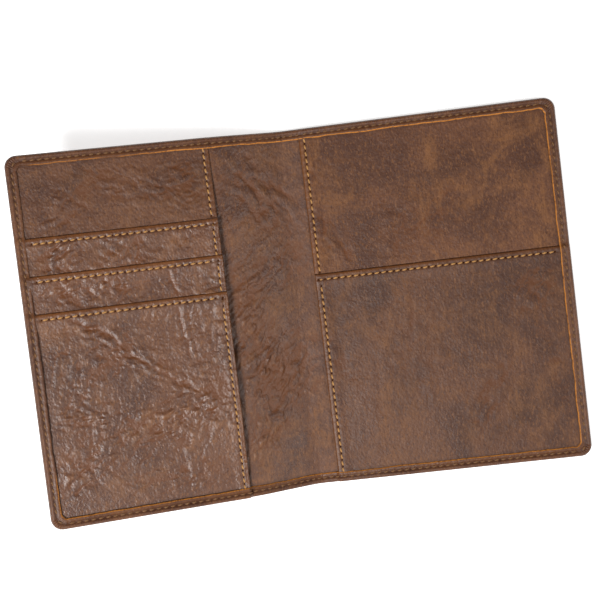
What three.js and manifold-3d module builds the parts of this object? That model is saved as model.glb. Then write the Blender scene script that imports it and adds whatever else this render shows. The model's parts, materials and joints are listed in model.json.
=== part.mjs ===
// Passport holder wallet in brown leather, lying open.
//
// Millimetres, +Z up. X runs across the two covers and Y along the fold. The back cover lies flat
// with its outer face on z = 0 and reaches towards +X. The front cover reaches towards -X and is
// raised, because the leather keeps some of its fold. The origin is the middle of the back cover's
// flat outer face, which is what the wallet rests on.
//
// Every layer is first laid out flat, as the wallet lies when it is pressed fully open. The flat
// layout has its zero at the middle of the fold, a cover runs in it from a fold line to its fore
// edge, and z is the height above the outer face. The spine strip is then turned about the back
// fold line, and the front cover about the front fold line.

import * as THREE from 'three';
import { mergeVertices } from 'three/addons/utils/BufferGeometryUtils.js';
import Module from 'manifold-3d';

// Driving dimensions
const HEIGHT = 142; // along the fold
const HALF_WIDTH = 108; // middle of the fold to a fore edge
const CORNER_RADIUS = 4.5;
const SPINE_WIDTH = 12; // between the two fold lines
const FOLD_HEIGHT = 1.3; // fold lines, above the outer face
const SPINE_LIFT = 13; // degrees, back cover to spine
const COVER_LIFT = 6.2; // degrees, spine to front cover

const OUTER = 1.0; // thickness of the outer leather
const HEM = 0.7; // thickness of its turned edge
const BOARD = 0.8;
const LINING = 0.6;
const PANEL = 0.7; // pocket leather
const SLOT = 0.6; // card slot leather
const CLOTH = 0.2;
const LAYER_GAP = 0.12;
const COVER_SPACE = 1.2; // room for one cover of a passport in the sleeve
const TICKET_SPACE = 0.4; // room for folded paper in the ticket pocket
const SLIP_SPACE = 0.8; // room behind the card panel

const HEM_WIDTH = 4.3;
const STITCH_INSET = 2.4;

const CARD_PANEL_EDGE = 31; // middle of the fold to the card panel
const TOP_SLOT = 39.5; // mouth of the top card slot, above the middle
const SLOT_PITCH = 14.3;
const SLOT_COUNT = 3;
const CARD_DEPTH = 79; // mouth of a card slot to its bottom
const SLOT_TUCK = 7; // leather tucked behind the next slot
const SLEEVE_EDGE = 7; // middle of the fold to the passport sleeve
const TICKET_MOUTH = 12.9; // mouth of the ticket pocket, above the middle
const PANEL_STITCH_INSET = 2.2;

const THREAD_WIDTH = 0.6;
const THREAD_DEPTH = 0.3;

// Derived places in the flat layout
const FOLD = SPINE_WIDTH / 2;
const TOP = HEIGHT / 2;
const FOLD_SLIT = 0.1; // each side of a fold line
const LINING_START = FOLD + 0.6; // clear of the spine lining when the wallet is shut
const HEM_START = FOLD + 1.5; // clear of the spine hem when the wallet is shut
const BOARD_START = FOLD + 4;
const HEM_ZONE = TOP - HEM_WIDTH - 0.3; // layers keep clear of the spine hem above this
const LAYER_INSET = OUTER + 0.3; // layers end this far inside the turned edge
const ARC_STEPS = 6;
const CUT_OVERRUN = 5; // how far a cutting body reaches past what it cuts
const FACE_MIDDLE = (FOLD + HALF_WIDTH) / 2; // middle of the fold to the middle of the flat face

const GROOVE_WIDTH = THREAD_WIDTH + 2 * LAYER_GAP;
const GROOVE_DEPTH = THREAD_DEPTH + 0.15;
const GROOVE_OVERRUN = 0.5; // how far a groove reaches past the end of its thread
const THREAD_SINK = THREAD_DEPTH + 0.03; // thread's lower side, below the leather's face
const ROW_START = 1; // a cross row starts this far inside its panel's free edge
const ROW_MARGIN = 1; // a row ends this far short of the hem

const BOARD_Z = OUTER + LAYER_GAP;
const LINING_Z = BOARD_Z + BOARD + LAYER_GAP;
const SLEEVE_Z = LINING_Z + LINING + COVER_SPACE;
const TICKET_Z = SLEEVE_Z + PANEL + TICKET_SPACE;
const BACK_HEM_Z = TICKET_Z + PANEL + LAYER_GAP;
const CARD_BACK_Z = LINING_Z + LINING + SLIP_SPACE;
const FIRST_SLOT_Z = CARD_BACK_Z + SLOT + LAYER_GAP;
const SLOT_STEP_Z = SLOT + LAYER_GAP;
const FRONT_HEM_Z = FIRST_SLOT_Z + SLOT_COUNT * SLOT_STEP_Z;
const SPINE_LINING_Z = OUTER + LAYER_GAP;
const SPINE_HEM_Z = SPINE_LINING_Z + LINING + LAYER_GAP;

const BACK = 1;
const FRONT = -1;

const wasm = await Module();
wasm.setup();

// ---- Materials

const material = (color, roughness) =>
  new THREE.MeshStandardMaterial({ color, roughness, metalness: 0 });
const outerLeather = material(0x5b4034, 0.55);
const liningLeather = material(0x694a3a, 0.6);
const pocketLeather = material(0x73503a, 0.5);
const boardFibre = material(0x6e6a63, 0.9);
const pocketCloth = material(0x2e2622, 0.95);
const thread = material(0xa57d4a, 0.7);

// ---- Solids

// A closed geometry as a solid that can be joined and cut.
function toSolid(geometry) {
  const bare = geometry.clone();
  bare.deleteAttribute('normal');
  bare.deleteAttribute('uv');
  const merged = mergeVertices(bare);
  const solidMesh = new wasm.Mesh({
    numProp: 3,
    vertProperties: new Float32Array(merged.attributes.position.array),
    triVerts: new Uint32Array(merged.index.array),
  });
  return new wasm.Manifold(solidMesh);
}

function toGeometry(solid) {
  const result = solid.getMesh();
  const geometry = new THREE.BufferGeometry();
  geometry.setAttribute('position', new THREE.BufferAttribute(result.vertProperties, 3));
  geometry.setIndex(new THREE.BufferAttribute(result.triVerts, 1));
  geometry.computeVertexNormals();
  return geometry;
}

// A flat plate of the given outline, from height z up.
function plate(outline, z, thickness) {
  const geometry = new THREE.ExtrudeGeometry(new THREE.Shape(outline), {
    depth: thickness,
    bevelEnabled: false,
  });
  geometry.translate(0, 0, z);
  return toSolid(geometry);
}

function block(xLow, xHigh, yLow, yHigh, z, thickness) {
  const geometry = new THREE.BoxGeometry(xHigh - xLow, yHigh - yLow, thickness);
  geometry.translate((xLow + xHigh) / 2, (yLow + yHigh) / 2, z + thickness / 2);
  return toSolid(geometry);
}

// ---- Outlines

// Outline of a cover layer from the distance `start` off the middle of the fold to the fore edge.
// It ends `inset` inside the cover's edges, with round corners at the fore edge. `low` and `high`
// move its lower and upper ends.
function coverOutline(side, start, inset, { low, high } = {}) {
  const fore = HALF_WIDTH - inset;
  const yLow = low ?? -TOP + inset;
  const yHigh = high ?? TOP - inset;
  const round = Math.max(CORNER_RADIUS - Math.max(inset, 0), 0.6);
  const lowRound = low === undefined ? round : 0;
  const highRound = high === undefined ? round : 0;
  const shape = new THREE.Shape();
  shape.moveTo(start, yLow);
  shape.lineTo(fore - lowRound, yLow);
  if (lowRound > 0) {
    shape.absarc(fore - lowRound, yLow + lowRound, lowRound, -Math.PI / 2, 0);
  }
  shape.lineTo(fore, yHigh - highRound);
  if (highRound > 0) {
    shape.absarc(fore - highRound, yHigh - highRound, highRound, 0, Math.PI / 2);
  }
  shape.lineTo(start, yHigh);
  return shape.getPoints(ARC_STEPS).map((point) => new THREE.Vector2(side * point.x, point.y));
}

// A block of a cover layer between two distances off the middle of the fold.
function coverBlock(side, near, far, yLow, yHigh, z, thickness) {
  const [xLow, xHigh] = side > 0 ? [near, far] : [-far, -near];
  return block(xLow, xHigh, yLow, yHigh, z, thickness);
}

// A band of the given width that follows the top, fore and bottom edges of a cover.
function edgeBand(side, start, inset, width, z, thickness) {
  const outside = coverOutline(side, start, inset - width / 2);
  const inside = coverOutline(side, start - CUT_OVERRUN, inset + width / 2);
  return plate(outside, z, thickness).subtract(plate(inside, z - thickness, 3 * thickness));
}

// ---- Cover layers

// Outer leather of a cover: its face, and the edge turned up and in over the other layers on the
// top, fore and bottom sides. A groove on each face holds the edge stitching.
function coverLeather(side, hemZ) {
  const hemTop = hemZ + HEM;
  const face = plate(coverOutline(side, FOLD + FOLD_SLIT, 0), 0, OUTER);
  const hemBlock = plate(coverOutline(side, HEM_START, 0), 0, hemTop);
  const inside = coverOutline(side, HEM_START - CUT_OVERRUN, OUTER);
  const window = coverOutline(side, HEM_START - CUT_OVERRUN, HEM_WIDTH);
  const grooves = [hemTop - GROOVE_DEPTH, GROOVE_DEPTH - OUTER].map((z) =>
    edgeBand(side, FOLD - CUT_OVERRUN, STITCH_INSET, GROOVE_WIDTH, z, OUTER),
  );
  return hemBlock
    .subtract(plate(inside, OUTER, hemZ - OUTER))
    .subtract(plate(window, OUTER, hemTop))
    .add(face)
    .subtract(grooves[0])
    .subtract(grooves[1]);
}

function coverBoard(side) {
  return plate(coverOutline(side, BOARD_START, LAYER_INSET), BOARD_Z, BOARD);
}

// A layer whose edge near the fold steps back under the hem, to pass the spine hem.
function steppedLayer(side, start, z, thickness, ends = {}) {
  const body = plate(coverOutline(side, HEM_START, LAYER_INSET, ends), z, thickness);
  const yHigh = ends.high ?? HEM_ZONE;
  const lip = coverBlock(side, start, HEM_START + LAYER_GAP, -HEM_ZONE, yHigh, z, thickness);
  return body.add(lip);
}

const coverLining = (side) => steppedLayer(side, LINING_START, LINING_Z, LINING);

// Edge stitching of a cover: the needle thread lies in the hem and the bobbin thread in the
// outer face.
function coverThread(side, z) {
  return edgeBand(side, HEM_START, STITCH_INSET, THREAD_WIDTH, z, THREAD_DEPTH);
}

// A straight groove or thread across a cover, centred on height y.
function crossRow(side, near, far, y, width, z, thickness) {
  return coverBlock(side, near, far, y - width / 2, y + width / 2, z, thickness);
}

// A straight groove or thread along the fold, centred on the distance `from` off its middle.
function uprightRow(side, from, yLow, yHigh, width, z, thickness) {
  return coverBlock(side, from - width / 2, from + width / 2, yLow, yHigh, z, thickness);
}

// ---- Back cover pockets

const rowEnd = HALF_WIDTH - HEM_WIDTH - ROW_MARGIN;
const rowTop = TOP - HEM_WIDTH - ROW_MARGIN;

const sleeveStitch = SLEEVE_EDGE + PANEL_STITCH_INSET;
const ticketStitch = TICKET_MOUTH - PANEL_STITCH_INSET;

// The sleeve's edge row runs on the sleeve above the ticket pocket and on the pocket below.
function sleeveGroove(z, yLow, yHigh) {
  return uprightRow(BACK, sleeveStitch, yLow, yHigh, GROOVE_WIDTH, z, HEIGHT);
}

function passportSleeve() {
  return steppedLayer(BACK, SLEEVE_EDGE, SLEEVE_Z, PANEL).subtract(
    sleeveGroove(SLEEVE_Z + PANEL - GROOVE_DEPTH, TICKET_MOUTH, HEIGHT),
  );
}

function ticketPocket() {
  const grooveZ = TICKET_Z + PANEL - GROOVE_DEPTH;
  const grooveEnd = rowEnd + GROOVE_OVERRUN;
  return steppedLayer(BACK, SLEEVE_EDGE, TICKET_Z, PANEL, { high: TICKET_MOUTH })
    .subtract(sleeveGroove(grooveZ, -HEIGHT, ticketStitch))
    .subtract(crossRow(BACK, SLEEVE_EDGE, grooveEnd, ticketStitch, GROOVE_WIDTH, grooveZ, PANEL));
}

const threadRun = GROOVE_WIDTH / 2 + LAYER_GAP; // how far a row stops short of one it meets

function upperSleeveThread() {
  const z = SLEEVE_Z + PANEL - THREAD_SINK;
  return uprightRow(BACK, sleeveStitch, TICKET_MOUTH + threadRun, rowTop, THREAD_WIDTH, z, THREAD_DEPTH);
}

function lowerSleeveThread() {
  const z = TICKET_Z + PANEL - THREAD_SINK;
  return uprightRow(BACK, sleeveStitch, -rowTop, ticketStitch - threadRun, THREAD_WIDTH, z, THREAD_DEPTH);
}

function ticketThread() {
  const z = TICKET_Z + PANEL - THREAD_SINK;
  return crossRow(BACK, SLEEVE_EDGE + ROW_START, rowEnd, ticketStitch, THREAD_WIDTH, z, THREAD_DEPTH);
}

// ---- Front cover card panel

const panelStitch = CARD_PANEL_EDGE + PANEL_STITCH_INSET;
const slotMouth = (index) => TOP_SLOT - index * SLOT_PITCH;
const slotZ = (index) => FIRST_SLOT_Z + index * SLOT_STEP_Z;

// The groove for the card panel's edge row, between two heights.
function panelGroove(z, yLow, yHigh) {
  return uprightRow(FRONT, panelStitch, yLow, yHigh, GROOVE_WIDTH, z, HEIGHT);
}

function cardBackPanel() {
  return plate(coverOutline(FRONT, CARD_PANEL_EDGE, LAYER_INSET), CARD_BACK_Z, SLOT).subtract(
    panelGroove(CARD_BACK_Z + SLOT - GROOVE_DEPTH, slotMouth(0), HEIGHT),
  );
}

// Leather of one card slot. All but the last are strips that end behind the next slot.
function cardSlot(index) {
  const mouth = slotMouth(index);
  const last = index === SLOT_COUNT - 1;
  const ends = last ? { high: mouth } : { high: mouth, low: slotMouth(index + 1) - SLOT_TUCK };
  const grooveZ = slotZ(index) + SLOT - GROOVE_DEPTH;
  const edgeLow = last ? -HEIGHT : slotMouth(index + 1);
  const rowY = mouth - PANEL_STITCH_INSET;
  const grooveEnd = rowEnd + GROOVE_OVERRUN;
  return plate(coverOutline(FRONT, CARD_PANEL_EDGE, LAYER_INSET, ends), slotZ(index), SLOT)
    .subtract(panelGroove(grooveZ, edgeLow, rowY))
    .subtract(crossRow(FRONT, CARD_PANEL_EDGE, grooveEnd, rowY, GROOVE_WIDTH, grooveZ, SLOT));
}

// Thin cloth that carries a slot's leather strip and closes the pocket behind the next slots.
function slotCloth(index) {
  const high = slotMouth(index + 1) - SLOT_TUCK - LAYER_GAP;
  const low = slotMouth(index) - CARD_DEPTH;
  return plate(coverOutline(FRONT, CARD_PANEL_EDGE, LAYER_INSET, { low, high }), slotZ(index), CLOTH);
}

function slotThread(index) {
  const z = slotZ(index) + SLOT - THREAD_SINK;
  const y = slotMouth(index) - PANEL_STITCH_INSET;
  return crossRow(FRONT, CARD_PANEL_EDGE + ROW_START, rowEnd, y, THREAD_WIDTH, z, THREAD_DEPTH);
}

// The edge row of the card panel changes level at each slot mouth, so it has one run for each
// level: run 0 is above the top slot.
function panelThread(run) {
  const surface = run === 0 ? CARD_BACK_Z + SLOT : slotZ(run - 1) + SLOT;
  const high = run === 0 ? rowTop : slotMouth(run - 1) - PANEL_STITCH_INSET - threadRun;
  const low = run === SLOT_COUNT ? -rowTop : slotMouth(run) + threadRun;
  return uprightRow(FRONT, panelStitch, low, high, THREAD_WIDTH, surface - THREAD_SINK, THREAD_DEPTH);
}

// ---- Spine

const spineReach = FOLD - FOLD_SLIT;

function spineRow(y, width, z, thickness) {
  return block(-spineReach, spineReach, y - width / 2, y + width / 2, z, thickness);
}

// Outer leather of the spine, with its hems at the top and bottom.
function spineLeather() {
  const hemTop = SPINE_HEM_Z + HEM;
  let solid = block(-spineReach, spineReach, -TOP, TOP, 0, OUTER);
  for (const end of [-1, 1]) {
    const edge = end * TOP;
    const wall = end * (TOP - OUTER);
    const lip = end * (TOP - HEM_WIDTH);
    const row = end * (TOP - STITCH_INSET);
    const yWall = [edge, wall].sort((a, b) => a - b);
    const yLip = [edge, lip].sort((a, b) => a - b);
    solid = solid
      .add(block(-spineReach, spineReach, ...yWall, 0, hemTop))
      .add(block(-spineReach, spineReach, ...yLip, SPINE_HEM_Z, HEM))
      .subtract(spineGroove(row, hemTop - GROOVE_DEPTH))
      .subtract(spineGroove(row, GROOVE_DEPTH - OUTER));
  }
  return solid;
}

function spineGroove(y, z) {
  return block(-SPINE_WIDTH, SPINE_WIDTH, y - GROOVE_WIDTH / 2, y + GROOVE_WIDTH / 2, z, OUTER);
}

function spineLining() {
  const reach = TOP - LAYER_INSET;
  return block(-spineReach, spineReach, -reach, reach, SPINE_LINING_Z, LINING);
}

const spineNeedle = (end) =>
  spineRow(end * (TOP - STITCH_INSET), THREAD_WIDTH, SPINE_HEM_Z + HEM - THREAD_SINK, THREAD_DEPTH);
const BOBBIN_Z = THREAD_SINK - THREAD_DEPTH;
const spineBobbin = (end) => spineRow(end * (TOP - STITCH_INSET), THREAD_WIDTH, BOBBIN_Z, THREAD_DEPTH);

// ---- Assembly

function piece(name, solid, finish) {
  const mesh = new THREE.Mesh(toGeometry(solid), finish);
  mesh.name = name;
  return mesh;
}

// A group that keeps the flat layout's coordinates and turns about a line along Y.
function turned(parent, axisX, degrees) {
  const pivot = new THREE.Group();
  pivot.position.set(axisX, 0, FOLD_HEIGHT);
  pivot.rotation.y = THREE.MathUtils.degToRad(degrees);
  const layout = new THREE.Group();
  layout.position.set(-axisX, 0, -FOLD_HEIGHT);
  pivot.add(layout);
  parent.add(pivot);
  return layout;
}

const backNeedleZ = BACK_HEM_Z + HEM - THREAD_SINK;
const frontNeedleZ = FRONT_HEM_Z + HEM - THREAD_SINK;
const backLeather = coverLeather(BACK, BACK_HEM_Z);
const frontLeather = coverLeather(FRONT, FRONT_HEM_Z);

const back = new THREE.Group();
back.position.x = -FACE_MIDDLE;
back.add(
  piece('back_outer_leather', backLeather, outerLeather),
  piece('back_board', coverBoard(BACK), boardFibre),
  piece('back_lining', coverLining(BACK), liningLeather),
  piece('passport_sleeve', passportSleeve(), pocketLeather),
  piece('ticket_pocket', ticketPocket(), pocketLeather),
  piece('back_edge_thread', coverThread(BACK, backNeedleZ), thread),
  piece('back_edge_bobbin_thread', coverThread(BACK, BOBBIN_Z), thread),
  piece('sleeve_edge_thread_upper', upperSleeveThread(), thread),
  piece('sleeve_edge_thread_lower', lowerSleeveThread(), thread),
  piece('ticket_pocket_thread', ticketThread(), thread),
);

const spine = turned(back, FOLD, SPINE_LIFT);
spine.add(
  piece('spine_outer_leather', spineLeather(), outerLeather),
  piece('spine_lining', spineLining(), liningLeather),
  piece('spine_top_thread', spineNeedle(1), thread),
  piece('spine_bottom_thread', spineNeedle(-1), thread),
  piece('spine_top_bobbin_thread', spineBobbin(1), thread),
  piece('spine_bottom_bobbin_thread', spineBobbin(-1), thread),
);

const front = turned(spine, -FOLD, COVER_LIFT);
front.add(
  piece('front_outer_leather', frontLeather, outerLeather),
  piece('front_board', coverBoard(FRONT), boardFibre),
  piece('front_lining', coverLining(FRONT), liningLeather),
  piece('card_back_panel', cardBackPanel(), pocketLeather),
  piece('front_edge_thread', coverThread(FRONT, frontNeedleZ), thread),
  piece('front_edge_bobbin_thread', coverThread(FRONT, BOBBIN_Z), thread),
);
for (let index = 0; index < SLOT_COUNT; index += 1) {
  front.add(piece(`card_slot_${index + 1}`, cardSlot(index), pocketLeather));
  front.add(piece(`card_slot_${index + 1}_thread`, slotThread(index), thread));
  if (index < SLOT_COUNT - 1) {
    front.add(piece(`card_slot_${index + 1}_cloth`, slotCloth(index), pocketCloth));
  }
}
for (let run = 0; run <= SLOT_COUNT; run += 1) {
  front.add(piece(`card_panel_edge_thread_${run + 1}`, panelThread(run), thread));
}

const wallet = new THREE.Group();
wallet.add(back);

export default wallet;
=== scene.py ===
"""Looks of an open passport wallet in waxed brown leather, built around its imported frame.

Every piece is laid out flat first, in millimetres: s runs across the wallet from the middle of
the fold (negative on the front cover), y along the fold, and h is the height above the outer
face. place() then bends that layout into the shape the wallet has at rest.
"""
import json
import math

import bmesh
import bpy
import numpy as np
from mathutils import Matrix, Vector

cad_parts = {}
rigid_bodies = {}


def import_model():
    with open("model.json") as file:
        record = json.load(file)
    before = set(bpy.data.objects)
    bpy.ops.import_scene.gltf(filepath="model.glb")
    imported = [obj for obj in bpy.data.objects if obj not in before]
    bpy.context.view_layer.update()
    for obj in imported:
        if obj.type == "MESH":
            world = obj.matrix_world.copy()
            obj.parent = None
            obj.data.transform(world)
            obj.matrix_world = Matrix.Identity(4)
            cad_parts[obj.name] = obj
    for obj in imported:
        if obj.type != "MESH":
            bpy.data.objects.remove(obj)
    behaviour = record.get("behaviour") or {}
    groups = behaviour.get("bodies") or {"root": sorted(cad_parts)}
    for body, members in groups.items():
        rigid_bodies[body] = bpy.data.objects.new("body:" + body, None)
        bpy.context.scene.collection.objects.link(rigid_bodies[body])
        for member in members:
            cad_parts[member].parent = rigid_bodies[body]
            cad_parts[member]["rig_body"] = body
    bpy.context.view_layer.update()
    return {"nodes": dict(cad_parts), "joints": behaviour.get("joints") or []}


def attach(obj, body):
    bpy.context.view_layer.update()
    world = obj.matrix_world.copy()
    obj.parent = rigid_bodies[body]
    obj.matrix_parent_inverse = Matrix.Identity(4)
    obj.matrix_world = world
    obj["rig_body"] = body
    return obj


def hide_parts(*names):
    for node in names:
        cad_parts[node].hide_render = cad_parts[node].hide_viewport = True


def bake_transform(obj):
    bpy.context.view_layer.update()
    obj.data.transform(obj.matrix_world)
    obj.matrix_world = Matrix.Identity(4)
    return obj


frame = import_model()

MM = 0.001

# ---- Helpers


def smooth(low, high, x):
    """0 below low, 1 above high, and an S curve between them."""
    t = np.clip((x - low) / (high - low), 0.0, 1.0)
    return t * t * (3.0 - 2.0 * t)


def hump(x, centre, width):
    return np.exp(-(((x - centre) / width) ** 2))


def hashed(ix, iy, seed):
    """A repeatable number from 0 to 1 for each lattice point."""
    n = (ix.astype(np.int64) * 374761393 + iy.astype(np.int64) * 668265263 + seed * 2147001325)
    n = (n ^ (n >> 13)) * 1274126177 & 0x7FFFFFFF
    n = (n ^ (n >> 16)) * 374761393 & 0x7FFFFFFF
    return (n ^ (n >> 11)) % 65536 / 65535.0


def value_noise(x, y, seed):
    """Smooth noise from -1 to 1 with features one unit across."""
    ix, iy = np.floor(x), np.floor(y)
    fx, fy = smooth(0, 1, x - ix), smooth(0, 1, y - iy)
    a, b = hashed(ix, iy, seed), hashed(ix + 1, iy, seed)
    c, d = hashed(ix, iy + 1, seed), hashed(ix + 1, iy + 1, seed)
    return 2 * ((a * (1 - fx) + b * fx) * (1 - fy) + (c * (1 - fx) + d * fx) * fy) - 1


def fractal(x, y, seed):
    """Three octaves of value noise, from -1 to 1."""
    total, size = 0.0, 1.0
    for octave in range(3):
        total = total + size * value_noise(x / size, y / size, seed + octave)
        size *= 0.5
    return total / (1.0 + 0.5 + 0.25)


# ---- The flat layout, read from the frame

joints = {joint["name"]: joint for joint in frame["joints"]}
UNFOLDING = {"back_cover": [], "spine": ["back_fold"], "front_cover": ["front_fold", "back_fold"]}


def lift(name):
    """How far a fold is raised at rest from flat open, in radians."""
    return math.radians(-joints[name]["range_deg"][0])


def unfolded(node):
    """Points of a CAD node with the wallet pressed flat open, in millimetres."""
    obj = frame["nodes"][node]
    points = np.array([obj.matrix_world @ v.co for v in obj.data.vertices]) / MM
    for name in UNFOLDING[obj["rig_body"]]:
        pivot = np.array(joints[name]["pos_m"]) / MM
        angle = -lift(name)
        x, z = points[:, 0] - pivot[0], points[:, 2] - pivot[2]
        points[:, 0] = pivot[0] + x * math.cos(angle) + z * math.sin(angle)
        points[:, 2] = pivot[2] - x * math.sin(angle) + z * math.cos(angle)
    return points


_spine_x = unfolded("spine_outer_leather")[:, 0]
FOLD_X = (_spine_x.min() + _spine_x.max()) / 2  # middle of the fold in the row frame


def flat_box(node):
    """Lowest and highest (s, y, h) of a CAD node in the flat layout."""
    points = unfolded(node) - np.array([FOLD_X, 0.0, 0.0])
    return points.min(0), points.max(0)


def middle(node, axis):
    low, high = flat_box(node)
    return (low[axis] + high[axis]) / 2


REACH = flat_box("back_outer_leather")[1][0]  # middle of the fold to a fore edge
TOP = flat_box("back_outer_leather")[1][1]
CARD_EDGE = -flat_box("card_back_panel")[1][0]
CARD_ROW = -middle("card_panel_edge_thread_1", 0)
SLOTS = ["card_slot_1", "card_slot_2", "card_slot_3"]
MOUTHS = [flat_box(node)[1][1] for node in SLOTS]
TAILS = [flat_box(node)[0][1] for node in SLOTS]
SLOT_ROWS = [middle(node + "_thread", 1) for node in SLOTS]
SLEEVE_EDGE = flat_box("passport_sleeve")[0][0]
SLEEVE_ROW = middle("sleeve_edge_thread_upper", 0)
TICKET_MOUTH = flat_box("ticket_pocket")[1][1]
TICKET_ROW = middle("ticket_pocket_thread", 1)
THREAD_HALF = (flat_box("spine_top_thread")[1][1] - flat_box("spine_top_thread")[0][1]) / 2
EDGE_ROW = TOP - middle("spine_top_thread", 1)  # edge stitching, inside the wallet's edge
BOARD_START = flat_box("back_board")[0][0]

HEM_WIDTH = 4.3
HEM_Y = TOP - HEM_WIDTH  # inner edges of the hem
HEM_S = REACH - HEM_WIDTH
CORNER = 4.5
PANEL_INSET = 2.2  # layers end this far inside the edge, under the hem
LAYER_Y = TOP - PANEL_INSET
LAYER_S = REACH - PANEL_INSET
STITCH_S = 2.75  # stitch length across the wallet
STITCH_Y = 2.7  # stitch length along the fold

# Thicknesses
OUTER = 1.0
BOARD = 0.65
LINING = 0.6
PANEL = 0.65
SLOT = 0.6
CLOTH = 0.2
HEM = 0.6
REST = 0.05  # air between layers that touch

# ---- The shape at rest

LIFT = lift("back_fold") + lift("front_fold")
SHOULDER = 26.5  # the front cover is steeper from the fold to here
SHOULDER_EXTRA = math.radians(8.0)
SHOULDER_HALF = 6.0
FORE_LESS = math.asin(SHOULDER * math.sin(SHOULDER_EXTRA) / (REACH - SHOULDER))
VALLEY_START = 3.0  # the leather starts to rise here, still on the back cover's side
VALLEY_END = -7.0
CURVE_OVERRUN = 4.0  # the curve goes on this far past the fore edge
CURVE_POINTS = 4001

_u = np.linspace(-VALLEY_START, REACH + CURVE_OVERRUN, CURVE_POINTS)
_slope = (LIFT + SHOULDER_EXTRA) * smooth(-VALLEY_START, -VALLEY_END, _u)
_slope = _slope - (SHOULDER_EXTRA + FORE_LESS) * smooth(
    SHOULDER - SHOULDER_HALF, SHOULDER + SHOULDER_HALF, _u
)
_step = _u[1] - _u[0]
_across = np.concatenate([[0.0], np.cumsum(np.cos(_slope[:-1]) * _step)])
_up = np.concatenate([[0.0], np.cumsum(np.sin(_slope[:-1]) * _step)])


def place(s, y, h):
    """Points of the flat layout in the row frame at rest, in metres."""
    u = np.clip(-s, -VALLEY_START, None)
    slope = np.interp(u, _u, _slope)
    x = np.where(s < VALLEY_START, VALLEY_START - np.interp(u, _u, _across), s) + h * np.sin(slope)
    z = np.interp(u, _u, _up) + h * np.cos(slope)
    return np.stack([x + FOLD_X, y, z], axis=-1) * MM


# ---- Heights of the stacked layers

CARD_LIFT = 1.7  # how far the card panel's free edge stands off the lining
CARD_LIFT_REACH = 34.0
CARD_LIFT_TAPER = 36.0  # the lift fades out this far before the hem
CARD_LIFT_TILT = 0.15  # there is less of it towards the top
TAIL_START, TAIL_END = -1.5, 1.0  # where a layer climbs onto a strip's tail
CLIMB = 0.8  # half the width over which the hem climbs onto a panel's free edge
MOUTH_CLIMB = 1.0  # the same at a pocket's mouth


def board_low(s, y):
    return np.full_like(s, OUTER + REST)


def lining_low(s, y):
    """The lining is stretched straight across the gap between the boards."""
    return np.full_like(s, OUTER + REST + BOARD + REST)


def card_base_low(s, y):
    inward = 1.0 - smooth(0.0, CARD_LIFT_REACH, -s - CARD_EDGE)
    free = smooth(HEM_Y, HEM_Y - CARD_LIFT_TAPER, np.abs(y)) * (1.0 - CARD_LIFT_TILT * y / TOP)
    return lining_low(s, y) + LINING + REST + CARD_LIFT * inward * inward * free


def slot_low(k):
    """Height function of slot k + 1's leather, over the strips and cloths behind it."""
    def low(s, y):
        height = card_base_low(s, y) + SLOT
        for tail in TAILS[:k]:
            strip = SLOT * smooth(tail + TAIL_START, tail + TAIL_END, y)
            height = height + REST + CLOTH + (strip - CLOTH) * smooth(0, SLOT, strip)
        return height + REST
    return low


def sleeve_low(s, y):
    return lining_low(s, y) + LINING + REST


def ticket_low(s, y):
    return sleeve_low(s, y) + PANEL + REST


def stack_top(s, y):
    """Top of all the layers that the turned edge lies on."""
    back = 1.0 + smooth(TICKET_MOUTH + MOUTH_CLIMB, TICKET_MOUTH - MOUTH_CLIMB, y)
    back = (REST + PANEL) * back * smooth(SLEEVE_EDGE - CLIMB, SLEEVE_EDGE + CLIMB, np.abs(s))
    front = REST + SLOT
    for mouth in MOUTHS:
        layer = REST + (SLOT if mouth == MOUTHS[-1] else (SLOT + CLOTH) / 2)
        front = front + layer * smooth(mouth + MOUTH_CLIMB, mouth - MOUTH_CLIMB, y)
    front = front * smooth(CARD_EDGE - CLIMB, CARD_EDGE + CLIMB, np.abs(s))
    return lining_low(s, y) + LINING + np.where(s < 0, front, back)


# ---- Stitch rows

HOLE = 0.35  # how far a hole's edge fades out along its row
HOLE_WIDTH = 0.34  # and across it
ROW_WIDTH = 0.55
ROW_DEPTH = 0.16


def from_hole(along, pitch):
    """Distance to the nearest hole of a stitch row. Holes lie on multiples of the pitch."""
    return np.abs(along - np.round(along / pitch) * pitch)


def span(low, high, x):
    """1 from low to high and 0 outside them."""
    return smooth(low - 0.3, low + 0.1, x) * smooth(high + 0.3, high - 0.1, x)


def upright_row(row_u, low, high):
    """A stitch row along the fold, for sheet(): along, across, pitch and where it is."""
    return (lambda s, y: y, lambda s, y: np.abs(s) - row_u, STITCH_Y, lambda s, y: span(low, high, y))


def cross_row(row_y, near):
    """A stitch row under a pocket's mouth, from its free side to the hem."""
    return (lambda s, y: s, lambda s, y: y - row_y, STITCH_S, lambda s, y: span(near, HEM_S, np.abs(s)))


# ---- Leather relief

# Single creases as (s, y) start, (s, y) end, sideways bow, width and depth, in millimetres.
CARD_CREASES = [
    (-94, 9, -72, -6, 1.0, 1.5, 0.34), (-74, -5, -42, -27, -2.0, 1.5, 0.34),
    (-50, 8, -47, -15, -0.8, 0.9, 0.30), (-101, -30, -80, -31, 0.9, 0.8, 0.20),
    (-96, -52, -82, -48, 1.0, 0.9, 0.26), (-66, -41, -36, -34, 2.0, 0.9, 0.18),
    (-76, -60, -64, -43, 1.5, 0.9, 0.16), (-90, 60, -76, 47, -1.5, 1.2, 0.12),
    (-66, 36, -73, 27, 1.0, 1.0, 0.22), (-46, 36, -54, 27, 0.6, 0.9, 0.16),
    (-78, 23, -76, 12, 0.8, 0.8, 0.16), (-52, 23, -48, 12, -1.0, 0.8, 0.20),
]
LINING_CREASES = [
    (-22, 60, -4, 38, -1.5, 1.3, 0.20), (-15, 61, 1, 45, -1.5, 1.2, 0.14),
    (-24, 50, -12, 32, 1.0, 1.2, 0.18), (-23, -32, -20, -54, 1.2, 1.0, 0.16),
]
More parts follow.
